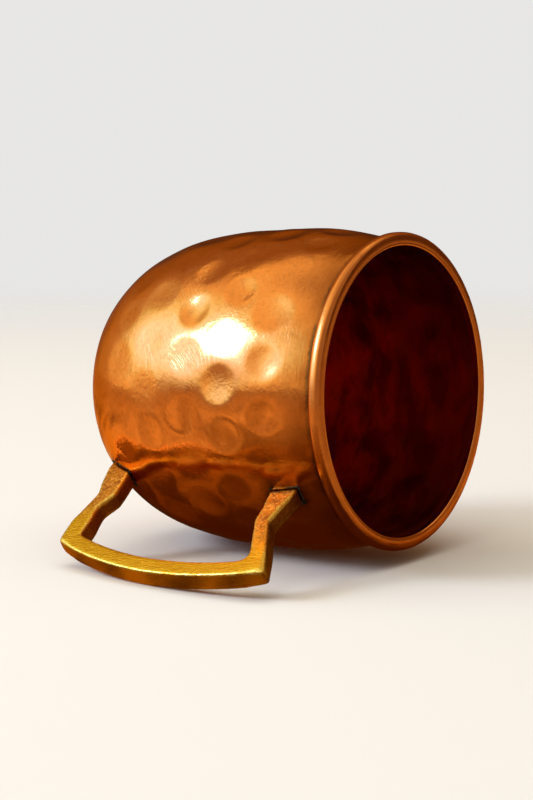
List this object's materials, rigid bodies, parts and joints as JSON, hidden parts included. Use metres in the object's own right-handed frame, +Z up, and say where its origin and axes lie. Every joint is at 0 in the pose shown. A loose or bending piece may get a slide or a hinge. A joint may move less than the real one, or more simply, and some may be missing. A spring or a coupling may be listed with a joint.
{
  "type": "hammered copper mug",
  "caption": "Barrel-shaped hammered copper mug with a rolled wire rim and a flat cast brass handle brazed to its side.",
  "frame": {"origin": "centre of the flat base, on the surface that the mug stands on", "axes": "+Z up along the mug's axis from base to mouth; +X from the axis towards the handle; the handle's flat faces look along +Y and -Y"},
  "size_m": [0.1208, 0.0886, 0.085],
  "materials": {
    "copper": null,
    "copper_polished": null,
    "brass": "sand-cast brass, linished bright on the grip and left dull and coppery near the body",
    "solder": null
  },
  "bodies": {
    "root": {"mug_body": "copper", "rim_band": "copper_polished", "rim_solder": "solder", "handle": "brass", "upper_solder": "solder", "lower_solder": "solder"}
  },
  "joints": []
}
